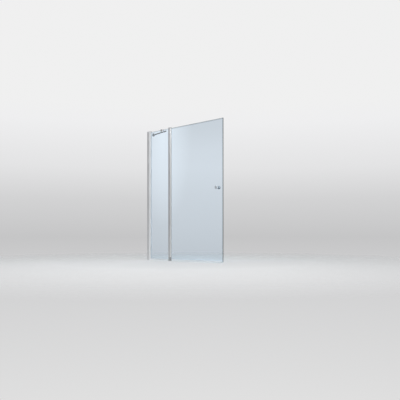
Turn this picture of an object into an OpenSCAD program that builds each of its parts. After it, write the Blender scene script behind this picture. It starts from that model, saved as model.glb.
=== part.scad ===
// Two-part bath screen: a fixed glass panel at the wall, an upright pivot post and a swing panel.
// The screen lies in the XZ plane: +X away from the wall, +Y into the bath, +Z up.
// The origin is on the wall, in the screen's middle plane, at the height of the bath rim.

/* [Overall] */
// Width of the screen, from the wall to the free edge of the swing glass
screen_w = 1060; // [900:5:1200]
// Height of the screen above the bath rim
screen_h = 1400; // [1300:5:1500]
// Distance from the wall to the pivot line
pivot_x = 348; // [310:0.5:420]

/* [Glass] */
// Thickness of both panes
glass_t = 6; // [5:0.5:8]
// Bevel along every glass edge
glass_arris = 0.5; // [0.2:0.1:1]
// Height of the panes' lower edges above the rim
glass_lift = 8; // [7:0.5:16]
// How far the panes end below the profiles' upper ends
glass_drop = 1; // [0.5:0.5:5]
// Radius of the swing glass's lower free corner
corner_r = 12; // [5:1:40]

/* [Wall profiles] */
// Depth of the wall channel, from the wall outwards
channel_d = 30; // [24:1:34]
// Width of the wall channel across the screen
channel_w = 30; // [28:1:36]
// Wall thickness of the channel
channel_wall = 1.6; // [1.2:0.1:2]
// Outer edge radius of the channel
channel_edge_r = 1; // [0.5:0.1:1.2]
// Sliding gap between the channel and the adjusting profile, each side
slide_gap = 0.2; // [0.1:0.05:0.4]
// Distance from the wall to the adjusting profile's back edge
adjust_back = 8; // [4:1:10]
// How far the adjusting profile stands out of the channel
adjust_out = 18; // [12:1:24]
// Wall thickness of the adjusting profile
adjust_wall = 1.4; // [1.2:0.1:1.8]
// Depth of the adjusting profile's glass pocket
adjust_pocket_d = 14; // [10:0.5:20]
// Gap under the adjusting profile for the sealant
adjust_lift = 2; // [1:0.5:5]
// Diameter of the wall screw holes
wall_hole_d = 5.5; // [4.5:0.1:6.5]
// Distance of the end wall screw holes from the screen's ends
wall_hole_end = 100; // [60:5:200]
// Number of wall screw holes
wall_hole_count = 4; // [3:1:6]
// Thickness of the cap on the wall profiles
wall_cap_t = 3; // [2:0.5:5]
// Depth of the cap's plug in the channel
wall_cap_plug = 8; // [4:1:15]

/* [Lock screws] */
// Diameter of the lock screws
lock_d = 3.4; // [2.8:0.1:4.2]
// Length of the lock screws under the head
lock_l = 6; // [5:0.5:9]
// Diameter of the lock screws' heads
lock_head_d = 7; // [6:0.5:9]
// Height of the lock screws' heads
lock_head_h = 1.8; // [1.2:0.1:2.4]
// Distance of the lock screws from the wall
lock_x = 18; // [14:0.5:24]
// Distance of the end lock screws from the screen's ends
lock_end = 150; // [80:5:300]
// Number of lock screws
lock_count = 3; // [2:1:5]

/* [Post] */
// Width of the post across the screen
post_w = 25; // [24:0.5:32]
// Outer wall thickness of the post
post_wall = 1.5; // [1.2:0.1:2]
// Outer edge radius of the post
post_edge_r = 1.2; // [0.5:0.1:2]
// Depth of the post's glass pocket
post_pocket_d = 10; // [9:0.5:14]
// Thickness of the walls beside the post's glass pocket
pocket_wall = 1.4; // [1.2:0.1:1.6]
// Thickness of the post's web between the glass pocket and the barrel seat
post_web = 2; // [1.5:0.1:3]
// Thickness of the post's cap
post_cap_t = 6; // [5:0.5:10]
// Bevel along the upper edges of the caps
cap_bevel = 0.8; // [0.4:0.1:1.5]
// Height of the foot, with its sleeve under the post
foot_h = 40; // [25:1:60]
// Thickness of the foot's plate under the barrel
foot_plate_t = 5; // [4.5:0.5:6.5]

/* [Hinge] */
// Diameter of the hinge profile's barrel
barrel_d = 20; // [19:0.5:24]
// Gap between the barrel and its seat in the post
seat_gap = 0.5; // [0.3:0.1:1]
// Gap between the post and the jaws when the panel stands square to it
swing_gap = 0.5; // [0.4:0.1:1]
// Distance from the pivot line to the mouth of the jaws
jaw_reach = 15; // [14:0.5:24]
// Wall thickness of the jaws
jaw_wall = 1.8; // [1.4:0.1:2.5]
// Diameter of the bore along the barrel
barrel_bore_d = 8.4; // [8:0.1:9]
// Thickness between the barrel's bore and the glass pocket
barrel_web = 1.3; // [1:0.1:2]
// Thickness of the barrel's outer skin round the relief
barrel_skin = 1.6; // [1.2:0.1:2]
// Thickness of the tube round the barrel's bore
barrel_core = 1.6; // [1.2:0.1:2]
// Diameter of the pivot pins
pin_d = 6; // [5:0.1:6.2]
// Radial running gap between the pivot pins and the pivot blocks
pin_gap = 0.05; // [0.02:0.01:0.09]
// Length of the upper pivot pin in the upper block
pin_top_reach = 15; // [10:1:17]
// Length of the lower pivot pin above the foot's plate
pin_foot_reach = 26; // [15:1:30]
// Depth of the pivot pins' seats in the cap and the foot
pin_seat = 3.5; // [2.5:0.5:4]
// Bevel on the ends of the pivot pins
pin_bevel = 0.5; // [0.2:0.1:1]
// Depth of the pivot blocks' spigots in the barrel
spigot_l = 14; // [8:1:20]
// Thickness of the upper pivot block's plate
upper_block_t = 4; // [3:0.5:6]
// Gap between the upper pivot block and the post's cap
top_gap = 0.3; // [0.2:0.1:1]
// Thickness of the thrust washer
washer_t = 0.8; // [0.5:0.1:1.5]
// Diameter of the thrust washer
washer_d = 15; // [12:0.5:18]
// Running gap between the thrust washer and the lower pivot block
thrust_gap = 0.2; // [0.1:0.05:0.5]

/* [Seals] */
// Thickness of the glazing seals beside the glass
seal_t = 1.5; // [1:0.1:2]
// How far the glazing seals' lips stand out of the profiles
lip_out = 1.2; // [0.6:0.1:2]
// How far the glazing seals' lips lap the profiles' faces
lip_lap = 0.9; // [0.5:0.1:1.2]
// Thickness of the bottom seals' walls
strip_t = 1.2; // [0.8:0.1:1.6]
// Height of the bottom seals' legs on the glass
strip_grip = 12; // [8:0.5:20]
// Thickness of the bottom seals' lips
fin_t = 0.8; // [0.6:0.1:1.2]
// Gap between the bottom seals' ends and their neighbours
strip_end_gap = 0.5; // [0.3:0.1:2]
// Height of the swing panel's wiper lip above the rim
wiper_clear = 1; // [0.5:0.1:3]

/* [Post screws] */
// Diameter of the screws in the post's ends
port_screw_d = 2.9; // [2.5:0.1:3]
// How far these screws reach into the post
port_screw_grip = 10; // [6:1:20]
// Diameter of these screws' heads
port_head_d = 5.2; // [4.8:0.1:5.4]
// Height of the foot screws' heads
port_head_h = 2; // [1.5:0.1:2.5]
// Thickness of the foot under these screws' heads
foot_screw_floor = 8; // [5:0.5:12]

/* [Knob] */
// Distance of the knob from the swing glass's free edge
knob_edge = 70; // [50:1:120]
// Height of the knob above the rim
knob_z = 730; // [600:5:900]
// Diameter of the knob's head
knob_d = 32; // [26:1:40]
// Thickness of the knob's head
knob_head_t = 12; // [8:0.5:16]
// How far the knob stands out from the glass
knob_out = 26; // [20:1:34]
// Diameter of the knob's neck
knob_neck_d = 14; // [12:0.5:18]
// Diameter of the knob's base
knob_base_d = 18; // [16:0.5:24]
// Thickness of the knob's base
knob_base_t = 2.5; // [2:0.5:4]
// Edge radius of the knob's head
knob_edge_r = 2.5; // [1:0.5:3.5]
// Diameter of the knob hole in the glass
knob_hole_d = 12; // [10:0.5:14]
// Thickness of the knob bushes' flanges
bush_flange_t = 1; // [0.6:0.1:2]
// Gap between the two bushes in the middle of the glass
bush_split = 0.2; // [0.1:0.1:0.6]
// Diameter of the stud that joins the knobs
stud_d = 6; // [5:0.5:7]
// Depth of the stud in each knob
stud_grip = 14; // [8:1:18]

/* [Brace] */
// Depth of the brace rod's axis below the screen's top
rod_drop = 19; // [18:0.5:30]
// Diameter of the brace rod
rod_d = 12; // [10:0.5:14]
// Wall thickness of the brace rod
rod_wall = 1; // [0.8:0.1:1.5]
// How far the brace rod ends past the clamp's middle
rod_past = 32; // [20:1:60]
// Distance of the brace's wall flange from the screen's middle plane
flange_y = 80; // [54:1:90]
// Diameter of the wall flange
flange_d = 35; // [34:0.5:38]
// Thickness of the wall flange
flange_t = 5; // [4:0.5:8]
// Distance of the flange's screw holes from each other
flange_pitch = 24; // [23:0.5:25]
// Diameter of the flange's screw holes
flange_hole_d = 4.5; // [3.5:0.1:5]
// Diameter of the flange's screw heads
flange_head_d = 8; // [7:0.1:8.4]
// Distance from the wall to the brace's swivel pin
swivel_x = 17; // [15:0.5:25]
// Diameter of the swivel pin
swivel_d = 5; // [4:0.5:6]
// Diameter of the swivel pin's heads
swivel_head_d = 8; // [7:0.5:10]
// Height of the swivel pin's heads
swivel_head_h = 1.2; // [0.8:0.1:2]
// Diameter of the fork's ears and of the rod eye's tongue
ear_d = 13; // [11:0.5:14]
// Thickness of each ear
ear_t = 3.5; // [3:0.5:4.5]
// Thickness of the rod eye's tongue
tongue_t = 6; // [4:0.5:8]
// Gap between the tongue and each ear
ear_gap = 0.1; // [0.05:0.05:0.3]
// Gap between the fork's ears and the rod eye's collar
collar_clear = 3; // [2:0.5:5]
// Diameter of the rod eye's collar
collar_d = 14; // [13:0.5:18]
// Length of the rod eye's collar
collar_l = 9; // [6:0.5:14]
// Length of the spigots inside the rod
rod_spigot_l = 12; // [8:1:20]
// Thickness of the rod's end cap
rod_cap_t = 2.5; // [2:0.5:5]

/* [Glass clamp] */
// Distance from the wall to the clamp's middle
clamp_x = 219; // [180:1:240]
// Distance of the rod from the screen's middle plane, at the clamp
clamp_rod_y = 36; // [30:1:44]
// Length of the clamp along the glass
clamp_l = 32; // [30:1:40]
// Wall thickness of the clamp beside the glass
clamp_wall = 6; // [5:0.5:8]
// Thickness of the clamp above the glass
clamp_roof = 5; // [4:0.5:5.5]
// How far the clamp reaches down the glass
clamp_grip = 16; // [14:0.5:20]
// Thickness of the clamp's liner
liner_t = 1; // [0.6:0.1:1.4]
// Outer diameter of the ring round the rod
ring_d = 19; // [18:0.5:22]
// Length of the ring along the rod
ring_l = 18; // [14:1:20]
// Thickness of the arm between the clamp and the ring, along the glass
arm_t = 12; // [8:1:16]
// Height of the arm
arm_h = 8; // [6:1:12]
// Diameter of the clamp's set screws
set_d = 5; // [4:0.5:6]
// Distance of the set screws in the clamp from its middle
set_off = 11; // [10:0.5:12]
// How far the set screws end below the clamp's faces
set_sunk = 0.5; // [0.3:0.1:1]
// Edge bevel of the clamp
clamp_bevel = 1; // [0.5:0.1:2]

/* [Fits] */
// Gap round pieces that are pressed or screwed into each other
press_gap = 0.02; // [0.01:0.01:0.05]
// Gap round screws that pass freely through a piece
free_gap = 0.2; // [0.1:0.05:0.3]

/* [Hidden] */
$fn = 64;

// a little more than a cut's own depth, so that it opens its faces cleanly
over = 1;
sides = [-1, 1];

// glass and pockets
glass_half = glass_t / 2;
pocket_half = glass_half + seal_t;

// wall profiles
wall_profile_h = screen_h - wall_cap_t;
adjust_half = channel_w / 2 - channel_wall - slide_gap;
adjust_x1 = channel_d + adjust_out;
adjust_pocket_x = adjust_x1 - adjust_pocket_d;
fixed_glass_x0 = adjust_pocket_x + seal_t;

// post and barrel
barrel_r = barrel_d / 2;
seat_r = barrel_r + seat_gap;
jaw_half = pocket_half + jaw_wall;
post_half = post_w / 2;
post_x1 = pivot_x - jaw_half - swing_gap;
post_pocket_x = pivot_x - seat_r - post_web;
post_x0 = post_pocket_x - post_pocket_d;
fixed_glass_x1 = post_pocket_x - seal_t;
post_top = screen_h - post_cap_t;
chamber_y0 = pocket_half + pocket_wall;
chamber_y1 = post_half - post_wall;
port_x = (post_x0 + post_wall + post_pocket_x) / 2;
port_y = (chamber_y0 + chamber_y1) / 2;
// the ports' rings run a little into the chambers' walls
port_bite = 0.15;
port_r = (chamber_y1 - chamber_y0) / 2 + port_bite;
port_bore_r = port_screw_d / 2 + press_gap;
foot_screw_z = foot_h - foot_screw_floor;

// hinge profile and its blocks
hinge_pocket_x = pivot_x + barrel_bore_d / 2 + barrel_web;
jaw_x1 = pivot_x + jaw_reach;
pin_bore_r = pin_d / 2 + pin_gap;
lower_block_z0 = foot_plate_t + washer_t + thrust_gap;
upper_block_z1 = post_top - top_gap;
hinge_z0 = foot_h;
hinge_z1 = upper_block_z1 - upper_block_t;

// panes
glass_z0 = glass_lift;
glass_z1 = post_top - glass_drop;
swing_glass_x0 = hinge_pocket_x + seal_t;
knob_x = screen_w - knob_edge;

// brace
rod_z = screen_h - rod_drop;
rod_angle = -atan2(flange_y - clamp_rod_y, clamp_x - swivel_x);
rod_span = norm([clamp_x - swivel_x, flange_y - clamp_rod_y]);
collar_start = ear_d / 2 + collar_clear;
rod_start = collar_start + collar_l;
rod_end = rod_span + rod_past;
rod_inner_r = rod_d / 2 - rod_wall;
clamp_half = glass_half + liner_t + clamp_wall;
clamp_z0 = glass_z1 - clamp_grip;
clamp_z1 = glass_z1 + liner_t + clamp_roof;
ear_z1 = tongue_t / 2 + ear_gap + ear_t;

// a block given by its lowest and highest corners
module block(lo, hi) {
    translate(lo) cube(hi - lo);
}

// a flat section in Y and Z, drawn out along X
module along_x(x0, x1) {
    translate([x0, 0, 0]) rotate([90, 0, 90]) linear_extrude(x1 - x0) children();
}

// a flat section in X and Z, drawn out along Y
module along_y(y0, y1) {
    translate([0, y1, 0]) rotate([90, 0, 0]) linear_extrude(y1 - y0) children();
}

// a flat section in X and Y, drawn out along Z
module along_z(z0, z1) {
    translate([0, 0, z0]) linear_extrude(z1 - z0) children();
}

// a rectangle with bevelled corners
module bevelled(lo, hi, c) {
    polygon([
        [lo.x + c, lo.y], [hi.x - c, lo.y], [hi.x, lo.y + c], [hi.x, hi.y - c],
        [hi.x - c, hi.y], [lo.x + c, hi.y], [lo.x, hi.y - c], [lo.x, lo.y + c]
    ]);
}

// a rectangle with round corners
module rounded(lo, hi, r) {
    translate([lo.x + r, lo.y]) square([hi.x - lo.x - 2 * r, hi.y - lo.y]);
    translate([lo.x, lo.y + r]) square([hi.x - lo.x, hi.y - lo.y - 2 * r]);
    for (x = [lo.x + r, hi.x - r], y = [lo.y + r, hi.y - r])
        translate([x, y]) circle(r);
}

// a round plate whose upper edge is bevelled
module bevelled_disc(r, t, c) {
    cylinder(r = r, h = t - c);
    translate([0, 0, t - c]) cylinder(r1 = r, r2 = r - c, h = c);
}

// a pane standing on edge, bevelled all round
module pane(x0, x1) {
    intersection() {
        along_z(glass_z0, glass_z1) bevelled([x0, -glass_half], [x1, glass_half], glass_arris);
        along_x(x0, x1) bevelled([-glass_half, glass_z0], [glass_half, glass_z1], glass_arris);
    }
}

// the U section of a glazing seal: pocket floor at x0, profile mouth at x1
module glazing_section(x0, x1) {
    depth = abs(x1 - x0);
    lip_half = glass_half + seal_t / 2;
    translate([x0, 0]) rotate(x1 > x0 ? 0 : 180) difference() {
        polygon([
            [0, -pocket_half], [depth, -pocket_half], [depth, -pocket_half - lip_lap],
            [depth + lip_out, -lip_half], [depth + lip_out, lip_half],
            [depth, pocket_half + lip_lap], [depth, pocket_half], [0, pocket_half]
        ]);
        translate([seal_t, -glass_half]) square([depth + lip_out, glass_t]);
    }
}

// a cross recess, cut down into a screw head from zero
module cross_recess(w, depth) {
    for (turn = [0, 90])
        rotate(turn) translate([-w / 2, -w / 8, -depth]) cube([w, w / 4, depth + over]);
}

// ---------- wall profiles ----------

wall_hole_pitch = (screen_h - 2 * wall_hole_end) / (wall_hole_count - 1);
lock_pitch = (screen_h - 2 * lock_end) / (lock_count - 1);

// heights of the lock screws
module at_locks() {
    for (i = [0 : lock_count - 1])
        translate([lock_x, channel_w / 2, lock_end + i * lock_pitch]) rotate([-90, 0, 0]) children();
}

module wall_channel() {
    half = channel_w / 2;
    color("silver") difference() {
        along_z(0, wall_profile_h) difference() {
            rounded([0, -half], [channel_d, half], channel_edge_r);
            translate([channel_wall, channel_wall - half])
                square([channel_d, channel_w - 2 * channel_wall]);
        }
        for (i = [0 : wall_hole_count - 1])
            translate([-over, 0, wall_hole_end + i * wall_hole_pitch])
                rotate([0, 90, 0]) cylinder(d = wall_hole_d, h = channel_wall + 2 * over);
        at_locks() translate([0, 0, -channel_wall - slide_gap / 2])
            cylinder(d = lock_d + 2 * free_gap, h = channel_wall + over);
    }
}

module adjusting_section() {
    half = adjust_half;
    difference() {
        rounded([adjust_back, -half], [adjust_x1, half], channel_edge_r);
        // open back, which takes up the wall's lean
        translate([adjust_back - over, adjust_wall - half])
            square([adjust_pocket_x - adjust_wall - adjust_back + over, 2 * (half - adjust_wall)]);
        // glass pocket
        translate([adjust_pocket_x, -pocket_half]) square([adjust_pocket_d + over, 2 * pocket_half]);
        // hollow chambers beside the pocket
        for (side = sides)
            translate([adjust_pocket_x, side > 0 ? pocket_half + adjust_wall : adjust_wall - half])
                square([adjust_pocket_d - adjust_wall, half - 2 * adjust_wall - pocket_half]);
    }
}

module adjusting_profile() {
    color("gainsboro") difference() {
        along_z(adjust_lift, wall_profile_h) adjusting_section();
        at_locks() translate([0, 0, -channel_wall - slide_gap - adjust_wall - over])
            cylinder(d = lock_d + 2 * press_gap, h = adjust_wall + over + slide_gap);
    }
}

module wall_profile_cap() {
    half = channel_w / 2;
    color("darkgray") {
        intersection() {
            along_z(wall_profile_h, screen_h) union() {
                rounded([0, -half], [channel_d, half], channel_edge_r);
                rounded([adjust_back, -adjust_half], [adjust_x1, adjust_half], channel_edge_r);
            }
            along_x(0, adjust_x1)
                bevelled([-half, wall_profile_h - cap_bevel], [half, screen_h], cap_bevel);
        }
        // plug in the open back of the channel
        plug_half = adjust_half - adjust_wall - slide_gap;
        block([channel_wall + slide_gap, -plug_half, wall_profile_h - wall_cap_plug],
              [adjust_back - slide_gap, plug_half, wall_profile_h]);
    }
}

module lock_screws() {
    color("lightgray") at_locks() difference() {
        union() {
            bevelled_disc(lock_head_d / 2, lock_head_h, lock_head_h / 3);
            translate([0, 0, -lock_l]) cylinder(d = lock_d, h = lock_l);
        }
        translate([0, 0, lock_head_h]) cross_recess(lock_head_d * 0.55, lock_head_h * 0.6);
    }
}

module wall_glazing_seal() {
    color("dimgray") along_z(glass_z0, glass_z1) glazing_section(adjust_pocket_x, adjust_x1);
}

// ---------- fixed pane ----------

module fixed_glass() {
    color("lightblue", 0.4) pane(fixed_glass_x0, fixed_glass_x1);
}

// the clip of a bottom seal on the glass edge, in Y and Z
module clip_section() {
    outer = glass_half + strip_t;
    difference() {
        translate([-outer, glass_z0 - strip_t]) square([2 * outer, strip_grip + strip_t]);
        translate([-glass_half, glass_z0]) square([glass_t, strip_grip + over]);
    }
}

module fixed_bottom_seal() {
    outer = glass_half + strip_t;
    neck_z = glass_z0 - strip_t;
    color("aliceblue", 0.5)
        along_x(adjust_x1 + lip_out + strip_end_gap, post_x0 - lip_out - strip_end_gap) {
            clip_section();
            // two lips under the clip, resting on the rim
            polygon([
                [-outer - fin_t, 0], [-outer, 0], [fin_t - outer, neck_z], [outer - fin_t, neck_z],
                [outer, 0], [outer + fin_t, 0], [outer, neck_z], [outer, glass_z0],
                [-outer, glass_z0], [-outer, neck_z]
            ]);
        }
}

module post_glazing_seal() {
    color("dimgray") along_z(glass_z0, glass_z1) glazing_section(post_pocket_x, post_x0);
}

// ---------- post ----------

module post_outline() {
    rounded([post_x0, -post_half], [post_x1, post_half], post_edge_r);
}

// places of the two screw ports in the post's ends
module at_ports() {
    for (side = sides)
        translate([port_x, side * port_y, 0]) children();
}

module post_section() {
    difference() {
        union() {
            difference() {
                post_outline();
                for (side = sides)
                    translate([post_x0 + post_wall, side > 0 ? chamber_y0 : -chamber_y1])
                        square([post_pocket_x - post_x0 - post_wall, chamber_y1 - chamber_y0]);
            }
            at_ports() circle(port_r);
        }
        at_ports() circle(port_bore_r);
        translate([post_x0 - over, -pocket_half]) square([post_pocket_d + over, 2 * pocket_half]);
        translate([pivot_x, 0]) circle(seat_r);
    }
}

module post_profile() {
    color("silver") along_z(foot_h, post_top) post_section();
}

// outline of the cap and of the foot's plate: the post, and the barrel beside it
module end_outline() {
    post_outline();
    translate([post_x1 - 2 * post_edge_r, -barrel_r])
        square([pivot_x - post_x1 + 2 * post_edge_r, barrel_d]);
    translate([pivot_x, 0]) circle(barrel_r);
}

module post_top_cap() {
    color("gray") difference() {
        intersection() {
            along_z(post_top, screen_h) end_outline();
            along_x(post_x0, pivot_x + barrel_r)
                bevelled([-post_half, post_top - cap_bevel], [post_half, screen_h], cap_bevel);
            along_y(-post_half, post_half)
                bevelled([post_x0, post_top - cap_bevel], [pivot_x + barrel_r, screen_h], cap_bevel);
        }
        at_ports() translate([0, 0, post_top - over]) {
            cylinder(d = port_screw_d + 2 * free_gap, h = post_cap_t + 2 * over);
            // countersink of 90 degrees
            translate([0, 0, over + post_cap_t - port_head_d / 2])
                cylinder(d1 = 0, d2 = port_head_d + 2 * over, h = port_head_d / 2 + over);
        }
        translate([pivot_x, 0, post_top - over]) cylinder(r = pin_d / 2 + press_gap, h = pin_seat + over);
    }
}

module post_cap_screws() {
    head_h = (port_head_d - port_screw_d) / 2;
    color("lightgray") at_ports() difference() {
        union() {
            translate([0, 0, post_top - port_screw_grip])
                cylinder(d = port_screw_d, h = port_screw_grip + post_cap_t - head_h);
            translate([0, 0, screen_h - head_h])
                cylinder(d1 = port_screw_d, d2 = port_head_d, h = head_h);
        }
        translate([0, 0, screen_h]) cross_recess(port_head_d * 0.6, head_h * 0.8);
    }
}

module post_foot() {
    color("dimgray") difference() {
        union() {
            along_z(0, foot_plate_t) end_outline();
            along_z(0, foot_h) difference() {
                post_outline();
                translate([pivot_x, 0]) circle(seat_r);
            }
        }
        // ledge and slot for the fixed glass
        block([post_x0 - over, -pocket_half, glass_z0], [post_pocket_x, pocket_half, foot_h + over]);
        at_ports() translate([0, 0, -over]) {
            cylinder(d = port_screw_d + 2 * free_gap, h = foot_h + 2 * over);
            cylinder(d = port_head_d + 2 * free_gap, h = foot_screw_z + over);
        }
        translate([pivot_x, 0, foot_plate_t - pin_seat])
            cylinder(r = pin_d / 2 + press_gap, h = pin_seat + over);
    }
}

module foot_screws() {
    color("lightgray") at_ports() difference() {
        union() {
            translate([0, 0, foot_screw_z - port_head_h]) cylinder(d = port_head_d, h = port_head_h);
            translate([0, 0, foot_screw_z])
                cylinder(d = port_screw_d, h = foot_screw_floor + port_screw_grip);
        }
        translate([0, 0, foot_screw_z - port_head_h]) mirror([0, 0, 1])
            cross_recess(port_head_d * 0.6, port_head_h * 0.6);
    }
}

// ---------- pivots ----------

// a plain pin whose ends are bevelled
module pivot_pin(z0, z1) {
    tip_d = pin_d - 2 * pin_bevel;
    translate([pivot_x, 0, z0]) {
        cylinder(d1 = tip_d, d2 = pin_d, h = pin_bevel);
        translate([0, 0, pin_bevel]) cylinder(d = pin_d, h = z1 - z0 - 2 * pin_bevel);
        translate([0, 0, z1 - z0 - pin_bevel]) cylinder(d1 = pin_d, d2 = tip_d, h = pin_bevel);
    }
}

module upper_pivot_pin() {
    color("lightgray") pivot_pin(post_top - pin_top_reach, post_top + pin_seat);
}

module lower_pivot_pin() {
    color("lightgray") pivot_pin(foot_plate_t - pin_seat, foot_plate_t + pin_foot_reach);
}

module thrust_washer() {
    color("white") translate([pivot_x, 0, foot_plate_t]) difference() {
        cylinder(d = washer_d, h = washer_t);
        translate([0, 0, -over]) cylinder(r = pin_bore_r, h = washer_t + 2 * over);
    }
}

// outer shape of the barrel and its jaws
module hinge_outline() {
    translate([pivot_x, 0]) circle(barrel_r);
    rounded([pivot_x, -jaw_half], [jaw_x1, jaw_half], jaw_wall / 2);
}

module hinge_section() {
    relief_r1 = barrel_r - barrel_skin;
    relief_r0 = barrel_bore_d / 2 + barrel_core;
    difference() {
        hinge_outline();
        translate([pivot_x, 0]) circle(d = barrel_bore_d);
        translate([hinge_pocket_x, -pocket_half])
            square([jaw_x1 - hinge_pocket_x + over, 2 * pocket_half]);
        // crescent relief behind the bore
        translate([pivot_x, 0]) difference() {
            circle(relief_r1);
            circle(relief_r0);
            translate([-barrel_core, -barrel_r]) square([barrel_d, barrel_d]);
        }
    }
}

module hinge_profile() {
    color("silver") along_z(hinge_z0, hinge_z1) hinge_section();
}

// one end piece of the barrel: a body with the barrel's outline, and a spigot up or down its bore
module pivot_block(z0, z1, slot_z, spigot_z0, spigot_z1) {
    difference() {
        union() {
            along_z(z0, z1) hinge_outline();
            translate([pivot_x, 0, spigot_z0])
                cylinder(r = barrel_bore_d / 2 - press_gap, h = spigot_z1 - spigot_z0);
        }
        block([hinge_pocket_x, -pocket_half, slot_z], [jaw_x1 + over, pocket_half, z1 + over]);
        children();
    }
}

module upper_pivot_block() {
    color("dimgray")
        pivot_block(hinge_z1, upper_block_z1, hinge_z1 - over, hinge_z1 - spigot_l, upper_block_z1)
            translate([pivot_x, 0, hinge_z1 - spigot_l - over])
                cylinder(r = pin_bore_r, h = spigot_l + upper_block_t + 2 * over);
}

module lower_pivot_block() {
    color("dimgray")
        pivot_block(lower_block_z0, hinge_z0, glass_z0, lower_block_z0, hinge_z0 + spigot_l)
            translate([pivot_x, 0, lower_block_z0 - over])
                cylinder(r = pin_bore_r, h = foot_plate_t + pin_foot_reach - lower_block_z0 + 2 * over);
}

module hinge_glazing_seal() {
    color("dimgray") along_z(glass_z0, glass_z1) glazing_section(hinge_pocket_x, jaw_x1);
}

// ---------- swing pane ----------

module swing_glass() {
    x0 = swing_glass_x0;
    color("lightblue", 0.4) difference() {
        intersection() {
            pane(x0, screen_w);
            along_y(-glass_half, glass_half) union() {
                translate([x0, glass_z0]) square([screen_w - x0 - corner_r, glass_z1 - glass_z0]);
                translate([x0, glass_z0 + corner_r])
                    square([screen_w - x0, glass_z1 - glass_z0 - corner_r]);
                translate([screen_w - corner_r, glass_z0 + corner_r]) circle(corner_r);
            }
        }
        translate([knob_x, -glass_t, knob_z]) rotate([-90, 0, 0]) cylinder(d = knob_hole_d, h = 2 * glass_t);
    }
}

module swing_bottom_seal() {
    outer = glass_half + strip_t;
    neck_z = glass_z0 - strip_t;
    color("aliceblue", 0.5) along_x(jaw_x1 + lip_out + strip_end_gap, screen_w - corner_r) {
        clip_section();
        // drip rail on the bath side
        polygon([
            [glass_half, neck_z], [outer, neck_z], [outer + strip_grip / 3, neck_z - strip_t],
            [outer, glass_z0], [glass_half, glass_z0]
        ]);
        // wiper lip under the glass
        polygon([
            [strip_t, wiper_clear], [strip_t + fin_t, wiper_clear], [fin_t, neck_z],
            [fin_t, glass_z0], [-fin_t, glass_z0], [-fin_t, neck_z]
        ]);
    }
}

// ---------- knob ----------

// a turned knob standing up from its base at zero
module knob() {
    neck_r = knob_neck_d / 2;
    head_r = knob_d / 2;
    body_l = knob_out - bush_flange_t;
    head_z = body_l - knob_head_t;
    sweep_r = (head_z - knob_base_t) / 2;
    difference() {
        rotate_extrude() difference() {
            union() {
                square([knob_base_d / 2, knob_base_t]);
                square([neck_r + sweep_r, body_l - knob_edge_r]);
                translate([0, head_z]) square([head_r - knob_edge_r, knob_head_t]);
                translate([0, head_z + knob_edge_r])
                    square([head_r, knob_head_t - 2 * knob_edge_r]);
                for (z = [head_z, body_l - 2 * knob_edge_r])
                    translate([head_r - knob_edge_r, z + knob_edge_r]) circle(knob_edge_r);
            }
            // waist between the base and the head
            translate([neck_r + sweep_r, knob_base_t + sweep_r]) circle(sweep_r);
            translate([neck_r + sweep_r, knob_base_t]) square([head_r, 2 * sweep_r]);
            translate([knob_base_d / 2, -over]) square([head_r, knob_base_t + sweep_r + over]);
        }
        translate([0, 0, -over]) cylinder(r = stud_d / 2 + press_gap, h = stud_grip + over);
    }
}

// the place of a knob on one face of the glass
module at_knob(side) {
    translate([knob_x, side * (glass_half + bush_flange_t), knob_z]) rotate([-side * 90, 0, 0]) children();
}

module knob_outer() {
    color("silver") at_knob(-1) knob();
}

module knob_inner() {
    color("silver") at_knob(1) knob();
}

module knob_stud() {
    reach = glass_half + bush_flange_t + stud_grip - over;
    color("lightgray") translate([knob_x, -reach, knob_z]) rotate([-90, 0, 0])
        cylinder(d = stud_d, h = 2 * reach);
}

module knob_bushes() {
    color("white") for (side = sides)
        translate([knob_x, side * (glass_half + bush_flange_t), knob_z]) rotate([side * 90, 0, 0])
            difference() {
                union() {
                    cylinder(d = knob_base_d, h = bush_flange_t);
                    cylinder(r = knob_hole_d / 2 - press_gap,
                             h = bush_flange_t + glass_half - bush_split / 2);
                }
                translate([0, 0, -over]) cylinder(r = stud_d / 2 + press_gap, h = glass_t + 2 * over);
            }
}

// ---------- brace ----------

// the brace's own frame: origin on the swivel pin, +X along the rod
module along_rod() {
    translate([swivel_x, flange_y, rod_z]) rotate([0, 0, rod_angle]) children();
}

// a cylinder on the rod's axis
module on_rod(x0, x1, r) {
    along_rod() translate([x0, 0, 0]) rotate([0, 90, 0]) cylinder(r = r, h = x1 - x0);
}

module brace_flange() {
    head_h = (flange_head_d - flange_hole_d) / 2;
    ear_r = ear_d / 2;
    color("dimgray") difference() {
        union() {
            translate([0, flange_y, rod_z]) rotate([0, 90, 0])
                bevelled_disc(flange_d / 2, flange_t, cap_bevel);
            block([0, flange_y - ear_r, rod_z - ear_z1], [swivel_x, flange_y + ear_r, rod_z + ear_z1]);
            translate([swivel_x, flange_y, rod_z - ear_z1]) cylinder(r = ear_r, h = 2 * ear_z1);
        }
        // slot between the ears
        block([flange_t, flange_y - ear_d, rod_z - tongue_t / 2 - ear_gap],
              [swivel_x + ear_d, flange_y + ear_d, rod_z + tongue_t / 2 + ear_gap]);
        translate([swivel_x, flange_y, rod_z - ear_z1 - over])
            cylinder(r = swivel_d / 2 + press_gap, h = 2 * (ear_z1 + over));
        for (side = sides)
            translate([0, flange_y, rod_z + side * flange_pitch / 2]) rotate([0, 90, 0]) {
                translate([0, 0, -over]) cylinder(d = flange_hole_d, h = flange_t + 2 * over);
                translate([0, 0, flange_t - head_h])
                    cylinder(d1 = flange_hole_d, d2 = flange_head_d + 2 * over, h = head_h + over);
            }
    }
}

module brace_swivel_pin() {
    color("gray") translate([swivel_x, flange_y, rod_z]) {
        translate([0, 0, -ear_z1]) cylinder(d = swivel_d, h = 2 * ear_z1);
        for (turn = [0, 180])
            rotate([turn, 0, 0]) translate([0, 0, ear_z1])
                bevelled_disc(swivel_head_d / 2, swivel_head_h, swivel_head_h / 2);
    }
}

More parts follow.
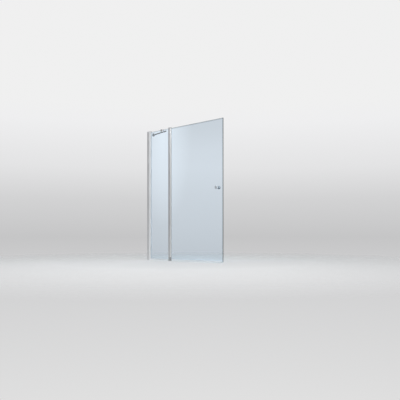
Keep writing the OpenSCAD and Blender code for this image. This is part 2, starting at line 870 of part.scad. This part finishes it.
module brace_rod_eye() {
    color("dimgray") difference() {
        union() {
            along_rod() {
                translate([0, 0, -tongue_t / 2]) cylinder(d = ear_d, h = tongue_t);
                block([0, -ear_d / 2, -tongue_t / 2], [collar_start + over, ear_d / 2, tongue_t / 2]);
            }
            on_rod(collar_start, rod_start, collar_d / 2);
            on_rod(rod_start, rod_start + rod_spigot_l, rod_inner_r - press_gap);
        }
        along_rod() translate([0, 0, -tongue_t]) cylinder(r = swivel_d / 2 + press_gap, h = 2 * tongue_t);
    }
}

module brace_rod() {
    color("dimgray") difference() {
        on_rod(rod_start, rod_end, rod_d / 2);
        on_rod(rod_start - over, rod_end + over, rod_inner_r);
    }
}

module brace_rod_end() {
    color("gray") {
        on_rod(rod_end - rod_spigot_l, rod_end, rod_inner_r - press_gap);
        along_rod() translate([rod_end, 0, 0]) rotate([0, 90, 0])
            bevelled_disc(rod_d / 2, rod_cap_t, cap_bevel);
    }
}

// places of the two set screws in the clamp's inner leg, pointing into the bath
module at_glass_screws() {
    for (side = sides)
        translate([clamp_x + side * set_off, glass_half + liner_t, clamp_z0 + clamp_grip / 2])
            rotate([-90, 0, 0]) children();
}

module glass_clamp() {
    ring_r = ring_d / 2;
    set_r = set_d / 2 + press_gap;
    color("dimgray") difference() {
        union() {
            intersection() {
                along_z(clamp_z0, clamp_z1)
                    bevelled([clamp_x - clamp_l / 2, -clamp_half], [clamp_x + clamp_l / 2, clamp_half],
                             clamp_bevel);
                along_x(clamp_x - clamp_l / 2, clamp_x + clamp_l / 2)
                    bevelled([-clamp_half, clamp_z0], [clamp_half, clamp_z1], clamp_bevel);
            }
            // arm from the middle of the clamp's inner leg to the ring
            block([clamp_x - arm_t / 2, clamp_half - clamp_wall / 2, rod_z - arm_h / 2],
                  [clamp_x + arm_t / 2, clamp_rod_y, rod_z + arm_h / 2]);
            on_rod(rod_span - ring_l / 2, rod_span + ring_l / 2, ring_r);
        }
        on_rod(rod_span - ring_l, rod_span + ring_l, rod_d / 2 + press_gap);
        block([clamp_x - clamp_l, -glass_half - liner_t, clamp_z0 - over],
              [clamp_x + clamp_l, glass_half + liner_t, glass_z1 + liner_t]);
        at_glass_screws() cylinder(r = set_r, h = clamp_wall + over);
        translate([clamp_x, clamp_rod_y, rod_z]) cylinder(r = set_r, h = ring_r + over);
    }
}

module clamp_liner() {
    outer = glass_half + liner_t;
    color("white") along_x(clamp_x - clamp_l / 2 + clamp_bevel, clamp_x + clamp_l / 2 - clamp_bevel)
        difference() {
            translate([-outer, clamp_z0 + clamp_bevel])
                square([2 * outer, glass_z1 + liner_t - clamp_z0 - clamp_bevel]);
            translate([-glass_half, clamp_z0]) square([glass_t, glass_z1 - clamp_z0]);
        }
}

// a set screw standing up from its tip at zero, with a hexagon socket in its end
module set_screw(length) {
    difference() {
        cylinder(d = set_d, h = length);
        translate([0, 0, length / 2]) cylinder(d = set_d * 0.55, h = length, $fn = 6);
    }
}

module clamp_glass_screws() {
    color("gray") at_glass_screws() set_screw(clamp_wall - set_sunk);
}

module clamp_rod_screw() {
    color("gray") translate([clamp_x, clamp_rod_y, rod_z + rod_d / 2])
        set_screw(ring_d / 2 - rod_d / 2 - set_sunk);
}

wall_channel();
adjusting_profile();
wall_profile_cap();
lock_screws();
wall_glazing_seal();
fixed_glass();
fixed_bottom_seal();
post_glazing_seal();
post_profile();
post_top_cap();
post_cap_screws();
post_foot();
foot_screws();
upper_pivot_pin();
lower_pivot_pin();
thrust_washer();
brace_flange();
brace_swivel_pin();
brace_rod_eye();
brace_rod();
brace_rod_end();
glass_clamp();
clamp_liner();
clamp_glass_screws();
clamp_rod_screw();
hinge_profile();
upper_pivot_block();
lower_pivot_block();
hinge_glazing_seal();
swing_glass();
swing_bottom_seal();
knob_outer();
knob_inner();
knob_stud();
knob_bushes();
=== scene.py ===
# The looks of a two-part glass screen: a pane fixed in a channel, an upright post, a pane that swings
# on the post, a round knob and a stabiliser rod. Lengths are in metres, +Z is up, and the wet side is
# the one towards +Y.
import math

import bpy
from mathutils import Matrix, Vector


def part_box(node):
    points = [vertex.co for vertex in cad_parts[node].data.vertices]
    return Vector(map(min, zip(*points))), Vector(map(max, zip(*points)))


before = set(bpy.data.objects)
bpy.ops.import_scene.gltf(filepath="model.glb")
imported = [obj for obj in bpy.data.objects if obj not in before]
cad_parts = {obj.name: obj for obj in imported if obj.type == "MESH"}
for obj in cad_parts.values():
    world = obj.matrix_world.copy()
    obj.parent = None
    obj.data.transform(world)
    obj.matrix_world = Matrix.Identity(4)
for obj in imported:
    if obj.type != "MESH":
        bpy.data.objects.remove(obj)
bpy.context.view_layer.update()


# ---- Wall channel ----
# A U section of extruded aluminium, sawn to length, satin anodised and screwed upright through its
# back. The die leaves faint lines along it, and the anodic film is slightly uneven.

die_line_width = 0.0011
die_line_draw = (1, 1, 300)
die_line_depth = 0.00002
die_line_roughness = (-0.05, 0.07)
film_patch_size = 0.09
edge_turn = (0.8, 0.99)
touched_patch_size = 0.02
touched_share = (0.35, 0.6)
bare_edge_width = 0.0007
bare_edge_lift = 0.07


def blank_finish(name):
    """A new material, with its node tree and its main shader."""
    finish = bpy.data.materials.new(name)
    finish.use_nodes = True
    return finish, finish.node_tree, finish.node_tree.nodes["Principled BSDF"]


def patches(tree, size, drawn=(1, 1, 1), detail=3.0):
    """Uneven light and dark over a piece, in patches of that size, which are drawn out along the
    three axes by the factors in drawn."""
    where = tree.nodes.new("ShaderNodeTexCoord")
    spread = tree.nodes.new("ShaderNodeMapping")
    spread.inputs["Scale"].default_value = [1 / (size * factor) for factor in drawn]
    noise = tree.nodes.new("ShaderNodeTexNoise")
    noise.inputs["Scale"].default_value = 1.0
    noise.inputs["Detail"].default_value = detail
    tree.links.new(where.outputs["Object"], spread.inputs["Vector"])
    tree.links.new(spread.outputs["Vector"], noise.inputs["Vector"])
    return noise.outputs["Fac"]


def span(tree, amount, low, high, start=0.3, end=0.7):
    """Runs from low to high while amount goes from start to end. Most of a noise's values lie between
    the start and end that are taken when none are given."""
    run = tree.nodes.new("ShaderNodeMapRange")
    run.inputs["From Min"].default_value = start
    run.inputs["From Max"].default_value = end
    run.inputs["To Min"].default_value = low
    run.inputs["To Max"].default_value = high
    tree.links.new(amount, run.inputs["Value"])
    return run.outputs["Result"]


def tones(tree, amount, first, second):
    """A colour that goes from first to second with amount. Both may be set or come from a node."""
    mix = tree.nodes.new("ShaderNodeMix")
    mix.data_type = "RGBA"
    tree.links.new(amount, mix.inputs["Factor"])
    ends = [socket for socket in mix.inputs if socket.type == "RGBA"]
    for socket, tone in zip(ends, (first, second)):
        if isinstance(tone, bpy.types.NodeSocket):
            tree.links.new(tone, socket)
        else:
            socket.default_value = (*tone, 1)
    return next(socket for socket in mix.outputs if socket.type == "RGBA")


def worked_out(tree, operation, first, second):
    """Two amounts added or multiplied, and kept between 0 and 1."""
    both = tree.nodes.new("ShaderNodeMath")
    both.operation = operation
    both.use_clamp = True
    tree.links.new(first, both.inputs[0])
    tree.links.new(second, both.inputs[1])
    return both.outputs["Value"]


def relief(tree, shader, height, depth):
    """Gives the surface a relief of that depth."""
    bump = tree.nodes.new("ShaderNodeBump")
    bump.inputs["Distance"].default_value = depth
    tree.links.new(height, bump.inputs["Height"])
    tree.links.new(bump.outputs["Normal"], shader.inputs["Normal"])


def rubbed_edges(tree, width):
    """Runs from 0 on open faces to 1 along edges of that width, in broken stretches, as hands and
    cloths rub them."""
    rounded = tree.nodes.new("ShaderNodeBevel")
    rounded.samples = 6
    rounded.inputs["Radius"].default_value = width
    face = tree.nodes.new("ShaderNodeNewGeometry")
    turned = tree.nodes.new("ShaderNodeVectorMath")
    turned.operation = "DOT_PRODUCT"
    tree.links.new(rounded.outputs["Normal"], turned.inputs[0])
    tree.links.new(face.outputs["Normal"], turned.inputs[1])
    at_edge = span(tree, turned.outputs["Value"], 1, 0, *edge_turn)
    touched = span(tree, patches(tree, touched_patch_size), 0, 1, *touched_share)
    return worked_out(tree, "MULTIPLY", at_edge, touched)


def anodised(name, dark, light, roughness, metal=1.0):
    """Anodised aluminium, extruded upright: die lines along it, an uneven film and rubbed edges."""
    finish, tree, shader = blank_finish(name)
    shader.inputs["Metallic"].default_value = metal
    lines = patches(tree, die_line_width, die_line_draw)
    film = tones(tree, span(tree, patches(tree, film_patch_size), 0, 1), dark, light)
    bare = [tone + bare_edge_lift for tone in light]
    colour = tones(tree, rubbed_edges(tree, bare_edge_width), film, bare)
    shine = span(tree, lines, *[roughness + change for change in die_line_roughness])
    tree.links.new(colour, shader.inputs["Base Color"])
    tree.links.new(shine, shader.inputs["Roughness"])
    relief(tree, shader, lines, die_line_depth)
    return finish


def dress(finish, *names):
    """Gives these CAD nodes that finish."""
    for name in names:
        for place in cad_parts[name].material_slots:
            place.material = finish


matt_silver = anodised("matt_silver_anodised", (0.76, 0.77, 0.78), (0.82, 0.83, 0.84), 0.46)
dress(matt_silver, "wall_channel")


# ---- Adjusting profile ----
# The inner profile of aluminium, which slides in the channel to make up for a lean and holds the
# fixed pane in its pocket. It is blasted with fine beads and anodised, so it scatters the light.

# Its tone is set paler than the channel's, as painted light.
pale_silver_painted_light = anodised("pale_silver_anodised", (0.86, 0.87, 0.88), (0.91, 0.92, 0.93), 0.55,
                       metal=0.55)
dress(pale_silver_painted_light, "adjusting_profile")


# ---- Cap of the channel and its profile ----
# A zinc die casting in satin grey lacquer, pushed with its plug into the channel's open top.
# The lacquer dries with a faint orange peel.

peel_size = 0.0014
peel_depth = 0.00004
peel_roughness = (0.36, 0.46)
clear_coat_weight = 0.25
clear_coat_roughness = 0.2
coat_patch_size = 0.02
pale_edge_width = 0.0008
pale_edge_lift = 0.16


def lacquered(name, dark, light):
    """Satin lacquer with orange peel on a casting, rubbed paler along its edges."""
    finish, tree, shader = blank_finish(name)
    peel = patches(tree, peel_size)
    coat = tones(tree, span(tree, patches(tree, coat_patch_size), 0, 1), dark, light)
    pale = [tone + pale_edge_lift for tone in light]
    colour = tones(tree, rubbed_edges(tree, pale_edge_width), coat, pale)
    tree.links.new(colour, shader.inputs["Base Color"])
    tree.links.new(span(tree, peel, *peel_roughness), shader.inputs["Roughness"])
    shader.inputs["Coat Weight"].default_value = clear_coat_weight
    shader.inputs["Coat Roughness"].default_value = clear_coat_roughness
    relief(tree, shader, peel, peel_depth)
    return finish


cap_grey = lacquered("cap_grey_lacquer", (0.33, 0.345, 0.355), (0.37, 0.385, 0.395))
dress(cap_grey, "wall_profile_cap")


# ---- Lock screws ----
# Stainless pan-head screws with a cross recess, driven through the channel from the wet side.
# They are turned and tumbled, so the shine is broken by fine scratches.

scratch_size = 0.0004
scratch_depth = 0.00001
scratch_roughness = (0.22, 0.38)


def turned_steel(name, dark, light):
    """Turned and tumbled stainless steel."""
    finish, tree, shader = blank_finish(name)
    shader.inputs["Metallic"].default_value = 1.0
    scratches = patches(tree, scratch_size, detail=5.0)
    colour = tones(tree, span(tree, scratches, 0, 1), dark, light)
    tree.links.new(colour, shader.inputs["Base Color"])
    tree.links.new(span(tree, scratches, *scratch_roughness), shader.inputs["Roughness"])
    relief(tree, shader, scratches, scratch_depth)
    return finish


screw_steel = turned_steel("screw_steel", (0.52, 0.53, 0.54), (0.64, 0.65, 0.66))
dress(screw_steel, "lock_screws")


# ---- Glazing seals of the fixed pane ----
# U strips of pale grey rubber, extruded, that grip the pane in the adjusting profile and in the
# post. The matt surface has a fine grain, and talc leaves paler patches.

rubber_grain_size = 0.0006
rubber_grain_draw = (1, 1, 6)
rubber_grain_depth = 0.00005
rubber_roughness = (0.5, 0.68)
talc_patch_size = 0.03


def rubber(name, dark, light):
    """Matt extruded rubber with a fine grain and talc on it."""
    finish, tree, shader = blank_finish(name)
    grain = patches(tree, rubber_grain_size, rubber_grain_draw)
    colour = tones(tree, span(tree, patches(tree, talc_patch_size), 0, 1), dark, light)
    tree.links.new(colour, shader.inputs["Base Color"])
    tree.links.new(span(tree, grain, *rubber_roughness), shader.inputs["Roughness"])
    relief(tree, shader, grain, rubber_grain_depth)
    return finish


seal_grey = rubber("glazing_rubber_grey", (0.58, 0.59, 0.60), (0.65, 0.66, 0.67))
dress(seal_grey, "wall_glazing_seal", "post_glazing_seal")


# ---- Fixed pane ----
# Toughened float glass, 6 mm, with ground and polished edges, held in the two glazing seals. Its
# faces are clear with a cool tint. The edges look darker, as light comes to them along the pane.

face_tint = (0.83, 0.92, 1.0)
# This tint colours the pane's edges. Near the upper edge, and the swing pane's free edge, it also
# darkens the faces as painted shade.
edge_tint_and_painted_rim_shade = (0.10, 0.14, 0.15)
pane_shadow_tint = (0.9, 0.95, 0.97)
glass_index = 1.5
face_turn = (0.8, 0.9)
painted_rim_shade_width = 0.0145
wipe_mark_size = 0.05
wipe_mark_draw = (3, 1, 1)
wipe_mark_roughness = (0.0, 0.035)
roller_wave_size = 0.3
roller_wave_draw = (2, 1, 1)
roller_wave_depth = 0.00002


def lets_lamps_through(finish, tint):
    """Light from lamps passes the glass, so that its shadow is pale."""
    tree = finish.node_tree
    rays = tree.nodes.new("ShaderNodeLightPath")
    open_glass = tree.nodes.new("ShaderNodeBsdfTransparent")
    open_glass.inputs["Color"].default_value = (*tint, 1)
    mix = tree.nodes.new("ShaderNodeMixShader")
    tree.links.new(rays.outputs["Is Shadow Ray"], mix.inputs["Fac"])
    tree.links.new(tree.nodes["Principled BSDF"].outputs["BSDF"], mix.inputs[1])
    tree.links.new(open_glass.outputs["BSDF"], mix.inputs[2])
    tree.links.new(mix.outputs["Shader"], tree.nodes["Material Output"].inputs["Surface"])


def near_end(tree, place, end, left):
    """Falls from 1 to left over the last painted_rim_shade_width before end, and keeps left on its last third."""
    return span(tree, place, 1, left, end - painted_rim_shade_width, end - painted_rim_shade_width / 3)


def toughened_glass(name, pane, free_rim_painted_shade, upper_rim_painted_shade):
    """Glass in a pane that stands across Y. Its faces and its edges have their own tints. Near the
    free edge and the upper edge the face is painted towards the edge tint as painted shade, for the
    light that the polished bevel bends away, and keeps only the share of its tint given for that
    edge."""
    finish, tree, shader = blank_finish(name)
    shader.inputs["Transmission Weight"].default_value = 1.0
    shader.inputs["IOR"].default_value = glass_index
    where = tree.nodes.new("ShaderNodeTexCoord")
    facing = tree.nodes.new("ShaderNodeSeparateXYZ")
    tree.links.new(where.outputs["Normal"], facing.inputs["Vector"])
    across = tree.nodes.new("ShaderNodeMath")
    across.operation = "ABSOLUTE"
    tree.links.new(facing.outputs["Y"], across.inputs[0])
    on_face = span(tree, across.outputs["Value"], 0, 1, *face_turn)
    place = tree.nodes.new("ShaderNodeSeparateXYZ")
    tree.links.new(where.outputs["Object"], place.inputs["Vector"])
    free_end, _, upper_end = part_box(pane)[1]
    # Painted shade: the face tint falls towards the edge tint near the free and upper edges.
    clear_of_painted_rim_shade = worked_out(tree, "MULTIPLY",
                               near_end(tree, place.outputs["X"], free_end, free_rim_painted_shade),
                               near_end(tree, place.outputs["Z"], upper_end, upper_rim_painted_shade))
    face = tones(tree, clear_of_painted_rim_shade, edge_tint_and_painted_rim_shade, face_tint)
    tree.links.new(tones(tree, on_face, edge_tint_and_painted_rim_shade, face), shader.inputs["Base Color"])
    # marks left by wiping, and the slow waves of the toughening rollers
    wiped = patches(tree, wipe_mark_size, wipe_mark_draw)
    tree.links.new(span(tree, wiped, *wipe_mark_roughness), shader.inputs["Roughness"])
    waves = patches(tree, roller_wave_size, roller_wave_draw, detail=0.0)
    relief(tree, shader, waves, roller_wave_depth)
    lets_lamps_through(finish, pane_shadow_tint)
    return finish


# The fixed pane's face is painted darker near its upper edge as painted shade; its free edge is left
# clear.
fixed_clear = toughened_glass("clear_glass_fixed", "fixed_glass", free_rim_painted_shade=1.0, upper_rim_painted_shade=0.8)
dress(fixed_clear, "fixed_glass")


# ---- Bottom seal of the fixed pane ----
# A strip of clear soft plastic, extruded and clipped on the pane's lower edge, with two lips below.
# It is a little cloudy, and the die draws faint lines along it.

cloud_size = 0.012
cloud_draw = (4, 1, 1)
cloud_roughness = (0.46, 0.34)
strip_clearness = 0.4
strip_index = 1.25
strip_line_width = 0.001
strip_line_draw = (30, 1, 1)
strip_line_depth = 0.00001
strip_shadow_tint = (0.85, 0.88, 0.9)


def clear_plastic(name, dull, clear):
    """Clear soft plastic, a little cloudy."""
    finish, tree, shader = blank_finish(name)
    shader.inputs["Transmission Weight"].default_value = strip_clearness
    shader.inputs["IOR"].default_value = strip_index
    cloudy = patches(tree, cloud_size, cloud_draw)
    colour = tones(tree, span(tree, cloudy, 0, 1), dull, clear)
    tree.links.new(colour, shader.inputs["Base Color"])
    tree.links.new(span(tree, cloudy, *cloud_roughness), shader.inputs["Roughness"])
    relief(tree, shader, patches(tree, strip_line_width, strip_line_draw), strip_line_depth)
    lets_lamps_through(finish, strip_shadow_tint)
    return finish


clear_strip = clear_plastic("clear_strip_plastic", (0.88, 0.90, 0.91), (0.94, 0.95, 0.96))
dress(clear_strip, "fixed_bottom_seal")


# ---- Post ----
# The upright at the fold, of extruded aluminium, with a pocket for the fixed pane and a round seat
# for the barrel of the swing panel. It is anodised like the channel, but smoother, and its darker
# tone is painted shade.

satin_silver_painted_shade = anodised("satin_silver_anodised", (0.70, 0.71, 0.72), (0.76, 0.77, 0.78), 0.28)
dress(satin_silver_painted_shade, "post_profile")


# ---- Cap and foot of the post ----
# Two zinc castings in grey lacquer, the foot's a little lighter, each drawn onto the post's end by
# two screws. The foot's sleeve comes up round the post's end, and the foot takes the lower pivot.

foot_grey = lacquered("foot_grey_lacquer", (0.42, 0.435, 0.445), (0.46, 0.475, 0.485))
dress(cap_grey, "post_top_cap")
dress(foot_grey, "post_foot")
dress(screw_steel, "post_cap_screws", "foot_screws")


# ---- Pivot pins and thrust washer ----
# Ground steel pins in the cap and the foot, and a moulded white acetal washer that carries the
# swing panel.

mould_texture_size = 0.0007
mould_texture_depth = 0.00003
flow_mark_size = 0.01


def moulded(name, dark, light, roughness):
    """Moulded plastic with the fine texture of its tool, and its least and greatest roughness."""
    finish, tree, shader = blank_finish(name)
    texture = patches(tree, mould_texture_size)
    colour = tones(tree, span(tree, patches(tree, flow_mark_size), 0, 1), dark, light)
    tree.links.new(colour, shader.inputs["Base Color"])
    tree.links.new(span(tree, texture, *roughness), shader.inputs["Roughness"])
    relief(tree, shader, texture, mould_texture_depth)
    return finish


white_acetal = moulded("white_acetal", (0.74, 0.74, 0.71), (0.80, 0.80, 0.78), (0.36, 0.5))
dress(white_acetal, "thrust_washer")
dress(screw_steel, "upper_pivot_pin", "lower_pivot_pin")


# ---- Stabiliser rod ----
# Brass parts in polished chrome: a cast round flange with a fork, a swivel pin, an eye, and a
# darker tube with its end cap. The eye's chrome is set pale as a painted highlight. Fingers leave
# dull marks on the polish.

finger_mark_size = 0.011
polish_wave_size = 0.003
polish_wave_depth = 0.000004
keen_edge_width = 0.0005
keen_edge_lift = 0.1


def chromed(name, dark, light, roughness):
    """Chrome plate with dull finger marks, polished brighter along its edges, and its least and
    greatest roughness."""
    finish, tree, shader = blank_finish(name)
    shader.inputs["Metallic"].default_value = 1.0
    marks = patches(tree, finger_mark_size, detail=4.0)
    plate = tones(tree, span(tree, marks, 0, 1), dark, light)
    keen = [tone + keen_edge_lift for tone in light]
    colour = tones(tree, rubbed_edges(tree, keen_edge_width), plate, keen)
    tree.links.new(colour, shader.inputs["Base Color"])
    tree.links.new(span(tree, marks, *roughness), shader.inputs["Roughness"])
    relief(tree, shader, patches(tree, polish_wave_size), polish_wave_depth)
    return finish


dark_chrome = chromed("dark_chrome", (0.31, 0.315, 0.325), (0.37, 0.375, 0.385), (0.12, 0.24))
dress(dark_chrome, "brace_rod", "brace_rod_end")
cast_chrome = chromed("cast_chrome", (0.43, 0.44, 0.45), (0.50, 0.51, 0.52), (0.16, 0.28))
dress(cast_chrome, "brace_flange", "brace_swivel_pin")
# Pale chrome: on the rod's eye it is a painted highlight.
pale_chrome_and_painted_highlight = chromed("pale_chrome_and_painted_highlight", (0.80, 0.81, 0.82), (0.87, 0.88, 0.89), (0.18, 0.3))
dress(pale_chrome_and_painted_highlight, "brace_rod_eye")


# ---- Glass clamp ----
# A chromed casting over the top edge of the fixed pane, with a ring round the rod. Two set screws
# press it on the glass through a white liner, and a third holds the rod.

dress(pale_chrome_and_painted_highlight, "glass_clamp")
dress(white_acetal, "clamp_liner")
dress(screw_steel, "clamp_glass_screws", "clamp_rod_screw")


# ---- Hinge profile ----
# The moving upright: an anodised barrel that turns in the post's seat, with jaws for the
# swing pane and a seal of the clear plastic in them. Its bright tone is painted light.

bright_silver_painted_light = anodised("bright_silver_anodised", (0.78, 0.79, 0.80), (0.84, 0.85, 0.86), 0.3)
dress(bright_silver_painted_light, "hinge_profile")
dress(clear_strip, "hinge_glazing_seal")


# ---- Pivot blocks ----
# Grey acetal mouldings pressed into the barrel's ends and bored for the pivot pins.
# The lower one shows above the foot as a dark ring.

block_grey = moulded("grey_acetal", (0.30, 0.31, 0.32), (0.35, 0.36, 0.37), (0.38, 0.5))
dress(block_grey, "upper_pivot_block", "lower_pivot_block")


# ---- Swing pane ----
# The same toughened glass, with its lower free corner rounded and a hole for the knob.
# The clear strip under it carries a wiper lip and a drip rail on the wet side.

# Its faces are painted darker near its free and upper edges, as painted shade.
swing_clear = toughened_glass("clear_glass_swing", "swing_glass", free_rim_painted_shade=0.45, upper_rim_painted_shade=0.65)
dress(swing_clear, "swing_glass")
dress(clear_strip, "swing_bottom_seal")


# ---- Knob ----
# Two turned brass knobs, one on each face of the pane, the outer one in satin chrome and the inner
# one polished. A steel stud through white bushes in the glass draws them together.

satin_chrome = chromed("satin_chrome", (0.66, 0.71, 0.76), (0.73, 0.78, 0.83), (0.42, 0.5))
dress(satin_chrome, "knob_outer")
# The inner knob's chrome is set dark as painted shade.
polished_chrome_painted_shade = chromed("polished_chrome_painted_shade", (0.40, 0.41, 0.42), (0.47, 0.48, 0.49), (0.08, 0.18))
dress(polished_chrome_painted_shade, "knob_inner")
dress(screw_steel, "knob_stud")
dress(white_acetal, "knob_bushes")


# ---- Floor ----
# A round pale floor of matt paint under the screen. It keeps the shadow, and further out it fades
# into the backdrop.

floor_radius = 9.0
floor_middle = (0.525, 0, 0)
floor_tone = (0.86, 0.86, 0.86)
floor_roughness = 0.7
fade_start = 1.3
fade_end = 3.2

bpy.ops.mesh.primitive_circle_add(vertices=96, radius=floor_radius, fill_type="NGON",
                                  location=floor_middle)
floor = bpy.context.object
floor.name = "floor"
paint, tree, shader = blank_finish("pale_floor")
shader.inputs["Base Color"].default_value = (*floor_tone, 1)
shader.inputs["Roughness"].default_value = floor_roughness
where = tree.nodes.new("ShaderNodeTexCoord")
reach = tree.nodes.new("ShaderNodeVectorMath")
reach.operation = "LENGTH"
tree.links.new(where.outputs["Object"], reach.inputs[0])
fade = span(tree, reach.outputs["Value"], 1, 0, fade_start, fade_end)
tree.links.new(fade, shader.inputs["Alpha"])
floor.data.materials.append(paint)


# ---- Backdrop ----
# A pale grey studio sweep, lighter upwards. Cameras, metal and glass see it, and the diffuse light on
# the object comes from a plain soft sky. Metal and glass see it lighter at half height, darker on the
# studio's left, and with one soft patch of light behind the upper end of the fixed pane.

sweep_foot = -0.3
sweep_top = 0.25
camera_foot = (0.74, 0.74, 0.74)
camera_greys = ((0.40, 0.64), (0.545, 0.56), (0.68, 0.65), (0.787, 0.77), (0.94, 0.86))
camera_top = (0.87, 0.87, 0.87)
camera_cool = 1.01
mirror_foot = (0.62, 0.62, 0.62)
mirror_greys = ((0.49, 0.65), (0.57, 0.695), (0.70, 0.755), (0.79, 0.81), (0.853, 0.80), (0.93, 0.74))
mirror_top = (0.72, 0.72, 0.725)
mirror_cool = 1.007
dark_side_tone = (0.36, 0.36, 0.365)
dark_side_way = (-0.90, -0.43, 0)
dark_side_reach = (0.35, 0.8)
light_patch_tone = (0.98, 0.99, 1.0)
light_patch_place = (-0.705, 0.681, 0.20)
light_patch_turn = 136
light_patch_size = (1, 0.056, 0.18)
sky_tone = (0.95, 0.98, 1.0)
sky_strength = 0.55


def sweep(tree, height, foot, stops, top, cool):
    """The tones of the backdrop from its foot to its top, with a grey at each height in stops. Their
    blue is multiplied by cool."""
    ramp = tree.nodes.new("ShaderNodeValToRGB")
    ramp.color_ramp.elements[0].color = (*foot, 1)
    ramp.color_ramp.elements[1].color = (*top, 1)
    for stop, grey in stops:
        ramp.color_ramp.elements.new(stop).color = (grey, grey, grey * cool, 1)
    tree.links.new(height, ramp.inputs["Fac"])
    return ramp.outputs["Color"]


sky = bpy.data.worlds.new("studio")
bpy.context.scene.world = sky
sky.use_nodes = True
tree = sky.node_tree
tree.nodes.clear()
rays = tree.nodes.new("ShaderNodeLightPath")
where = tree.nodes.new("ShaderNodeTexCoord")
split = tree.nodes.new("ShaderNodeSeparateXYZ")
tree.links.new(where.outputs["Generated"], split.inputs["Vector"])
height = span(tree, split.outputs["Z"], 0, 1, sweep_foot, sweep_top)
seen = sweep(tree, height, camera_foot, camera_greys, camera_top, camera_cool)
mirrored = sweep(tree, height, mirror_foot, mirror_greys, mirror_top, mirror_cool)

dark_side = tree.nodes.new("ShaderNodeVectorMath")
dark_side.operation = "DOT_PRODUCT"
dark_side.inputs[1].default_value = dark_side_way
tree.links.new(where.outputs["Generated"], dark_side.inputs[0])
away = span(tree, dark_side.outputs["Value"], 1, 0, *dark_side_reach)
mirrored = tones(tree, away, dark_side_tone, mirrored)

patch_frame = tree.nodes.new("ShaderNodeMapping")
patch_frame.vector_type = "TEXTURE"
patch_frame.inputs["Location"].default_value = light_patch_place
patch_frame.inputs["Rotation"].default_value = (0, 0, math.radians(light_patch_turn))
patch_frame.inputs["Scale"].default_value = light_patch_size
tree.links.new(where.outputs["Generated"], patch_frame.inputs["Vector"])
patch = tree.nodes.new("ShaderNodeTexGradient")
patch.gradient_type = "SPHERICAL"
tree.links.new(patch_frame.outputs["Vector"], patch.inputs["Vector"])
mirrored = tones(tree, patch.outputs["Fac"], mirrored, light_patch_tone)

backdrop = tree.nodes.new("ShaderNodeBackground")
shade = tones(tree, rays.outputs["Is Glossy Ray"], seen, mirrored)
tree.links.new(shade, backdrop.inputs["Color"])
light = tree.nodes.new("ShaderNodeBackground")
light.inputs["Color"].default_value = (*sky_tone, 1)
light.inputs["Strength"].default_value = sky_strength
in_sight = worked_out(tree, "ADD", rays.outputs["Is Camera Ray"], rays.outputs["Is Glossy Ray"])
in_sight = worked_out(tree, "ADD", in_sight, rays.outputs["Is Transmission Ray"])
mix = tree.nodes.new("ShaderNodeMixShader")
tree.links.new(in_sight, mix.inputs["Fac"])
tree.links.new(light.outputs["Background"], mix.inputs[1])
tree.links.new(backdrop.outputs["Background"], mix.inputs[2])
out = tree.nodes.new("ShaderNodeOutputWorld")
tree.links.new(mix.outputs["Shader"], out.inputs["Surface"])


# ---- Lamps ----
# Two soft boxes of cloth on frames, both turned to the middle of the screen: a stronger one high on
# the right in front, and a weaker one high on the left.

screen_middle = (0.5, 0, 0.7)
box_side = 1.8


def soft_box(name, place, power):
    """A square area lamp at place, turned to the middle of the screen, with its power in watts."""
    lamp = bpy.data.lights.new(name, "AREA")
    lamp.size = box_side
    lamp.energy = power
    box = bpy.data.objects.new(name, lamp)
    bpy.context.collection.objects.link(box)
    box.location = place
    towards = Vector(screen_middle) - Vector(place)
    box.rotation_euler = towards.to_track_quat("-Z", "Y").to_euler()


soft_box("key_light", place=(3.4, -2.4, 3.3), power=75)
soft_box("fill_light", place=(-0.2, -4.2, 3.4), power=30)


# ---- Camera ----
# Level, a quarter of a metre above the screen's foot, and turned from the screen's plane.
# The shift moves the picture only, so upright edges stay upright.

camera_place = (4.125, -3.762, 0.252)
camera_turn = 41.8
sensor_width = 36
lens_length = 45.63
picture_shift = 0.0925

lens = bpy.data.cameras.new("camera")
lens.sensor_width = sensor_width
lens.lens = lens_length
lens.shift_y = picture_shift
camera = bpy.data.objects.new("camera", lens)
bpy.context.collection.objects.link(camera)
camera.location = camera_place
camera.rotation_euler = (math.radians(90), 0, math.radians(camera_turn))
bpy.context.scene.camera = camera
bpy.context.scene.view_settings.view_transform = "Standard"
